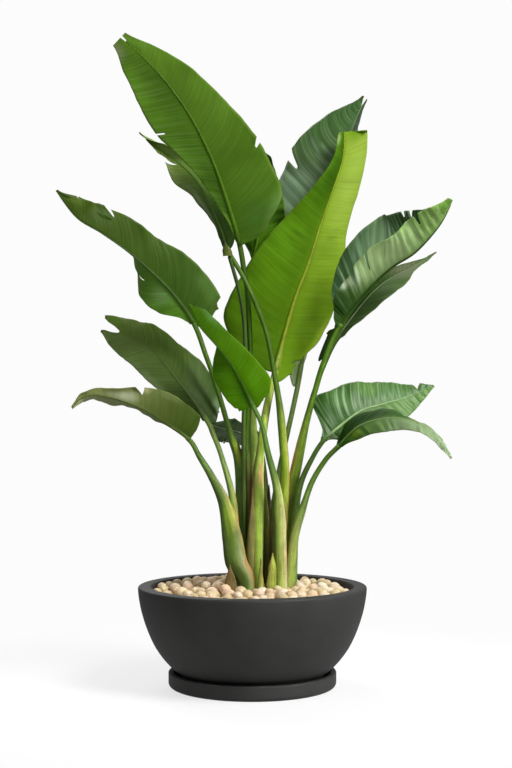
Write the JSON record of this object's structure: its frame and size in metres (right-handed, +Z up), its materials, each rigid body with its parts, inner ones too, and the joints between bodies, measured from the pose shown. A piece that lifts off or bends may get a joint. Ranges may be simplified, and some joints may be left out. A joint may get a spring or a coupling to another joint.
{
  "type": "potted bird of paradise plant",
  "caption": "Tall bird of paradise plant with long stalked paddle leaves in a charcoal bowl planter on a saucer, with a bed of cream pebbles.",
  "frame": {"origin": "middle of the saucer's flat underside, on the surface the plant stands on", "axes": "+Z up along the pot's axis, +X to the right and +Y away from the front"},
  "size_m": [0.7608, 0.4855, 1.2626],
  "materials": {
    "saucer": "matte charcoal",
    "pot": "matte charcoal",
    "soil": "dark crumbly potting soil",
    "pebbles": "smooth cream pebbles",
    "leaf": "living leaf, waxy satin green",
    "shoot": "young leaf, satin yellow green",
    "dry_sheath": "dry fibrous tan"
  },
  "bodies": {
    "root": {"saucer": "saucer", "pot": "pot", "soil": "soil", "pebbles": "pebbles", "leaf_tall_left": "leaf", "leaf_curled_left": "leaf", "leaf_long_left": "leaf", "leaf_dark_left": "leaf", "leaf_low_left": "leaf", "leaf_bright_centre": "leaf", "leaf_small_front": "leaf", "leaf_dark_back": "leaf", "leaf_ruffled_back": "leaf", "leaf_split_right": "leaf", "leaf_slender_right": "leaf", "leaf_broad_right": "leaf", "leaf_drooping_right": "leaf", "leaf_grey_behind": "leaf", "young_shoot": "shoot", "old_sheath": "dry_sheath"}
  },
  "joints": []
}
